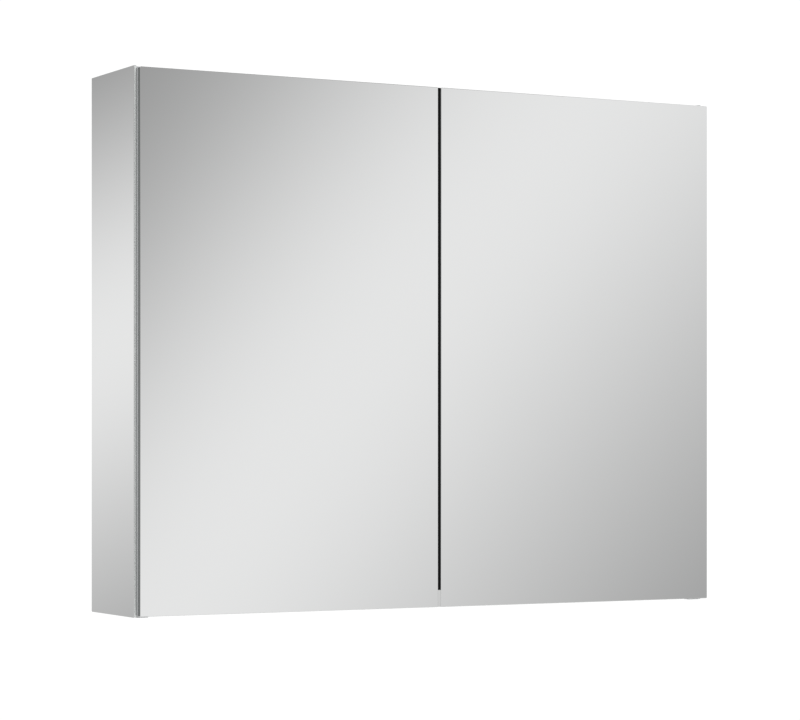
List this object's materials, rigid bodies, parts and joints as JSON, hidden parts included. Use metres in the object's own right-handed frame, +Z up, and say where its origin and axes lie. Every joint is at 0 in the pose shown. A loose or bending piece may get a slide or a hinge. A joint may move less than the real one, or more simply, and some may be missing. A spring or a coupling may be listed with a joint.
{
  "type": "mirror cabinet",
  "caption": "Wall-hung bathroom cabinet with frameless double-sided mirror doors on concealed hinges, mirrored sides and glass shelves inside.",
  "frame": {"origin": "centre of the four wall-screw holes, on the wall plane", "axes": "+X to the right as seen from the room, +Y into the wall, +Z up; the doors face -Y"},
  "size_m": [0.8, 0.148, 0.646],
  "materials": {
    "white_board": "matt melamine",
    "edge_band": "satin white",
    "end_band": "satin dark grey",
    "white_hardboard": "matt lacquer",
    "mirror": "polished",
    "clear_glass": "polished",
    "polished_metal": "polished",
    "beech": "raw",
    "clear_rubber": "soft clear",
    "black_rubber": "matt",
    "satin_aluminium": "satin anodised",
    "foam_board": "matt",
    "zinc": "bright zinc",
    "nickel_steel": "nickel plated"
  },
  "bodies": {
    "cabinet": {"back_panel": "white_hardboard", "bottom_edge_band": "edge_band", "bottom_panel": "white_board", "cam_bolts": "zinc", "cam_locks": "zinc", "door_bumpers": "clear_rubber", "dowels": "beech", "hanging_rail_lower": "white_board", "hanging_rail_upper": "white_board", "hinge_adjusters": "nickel_steel", "hinge_arm_left_lower": "nickel_steel", "hinge_arm_left_upper": "nickel_steel", "hinge_arm_right_lower": "nickel_steel", "hinge_arm_right_upper": "nickel_steel", "hinge_plate_left_lower": "nickel_steel", "hinge_plate_left_upper": "nickel_steel", "hinge_plate_right_lower": "nickel_steel", "hinge_plate_right_upper": "nickel_steel", "hinge_plate_screws": "nickel_steel", "shelf_lower": "clear_glass", "shelf_pins_lower": "polished_metal", "shelf_pins_upper": "polished_metal", "shelf_upper": "clear_glass", "side_edge_band_left": "edge_band", "side_edge_band_right": "edge_band", "side_end_bands_left": "end_band", "side_end_bands_right": "end_band", "side_mirror_left": "mirror", "side_mirror_right": "mirror", "side_panel_left": "white_board", "side_panel_right": "white_board", "top_edge_band": "edge_band", "top_panel": "white_board"},
    "left_door": {"centre_seal": "black_rubber", "centre_strip_end": "satin_aluminium", "door_left_back_mirror": "mirror", "door_left_bottom_rail": "satin_aluminium", "door_left_core": "foam_board", "door_left_free_stile": "satin_aluminium", "door_left_front_mirror": "mirror", "door_left_hinge_stile": "satin_aluminium", "door_left_top_rail": "satin_aluminium", "hinge_cup_left_lower": "nickel_steel", "hinge_cup_left_upper": "nickel_steel", "hinge_cup_screws_left": "nickel_steel", "hinge_pins_left": "nickel_steel"},
    "right_door": {"door_right_back_mirror": "mirror", "door_right_bottom_rail": "satin_aluminium", "door_right_core": "foam_board", "door_right_free_stile": "satin_aluminium", "door_right_front_mirror": "mirror", "door_right_hinge_stile": "satin_aluminium", "door_right_top_rail": "satin_aluminium", "hinge_cup_right_lower": "nickel_steel", "hinge_cup_right_upper": "nickel_steel", "hinge_cup_screws_right": "nickel_steel", "hinge_pins_right": "nickel_steel"}
  },
  "joints": [
    {"name": "left_door_hinge", "type": "hinge", "parent": "cabinet", "child": "left_door", "pos_m": [-0.3938, -0.1392, 0], "axis": [0, 0, -1], "range_deg": [0, 100]},
    {"name": "right_door_hinge", "type": "hinge", "parent": "cabinet", "child": "right_door", "pos_m": [0.3938, -0.1392, 0], "axis": [0, 0, 1], "range_deg": [0, 100]}
  ]
}
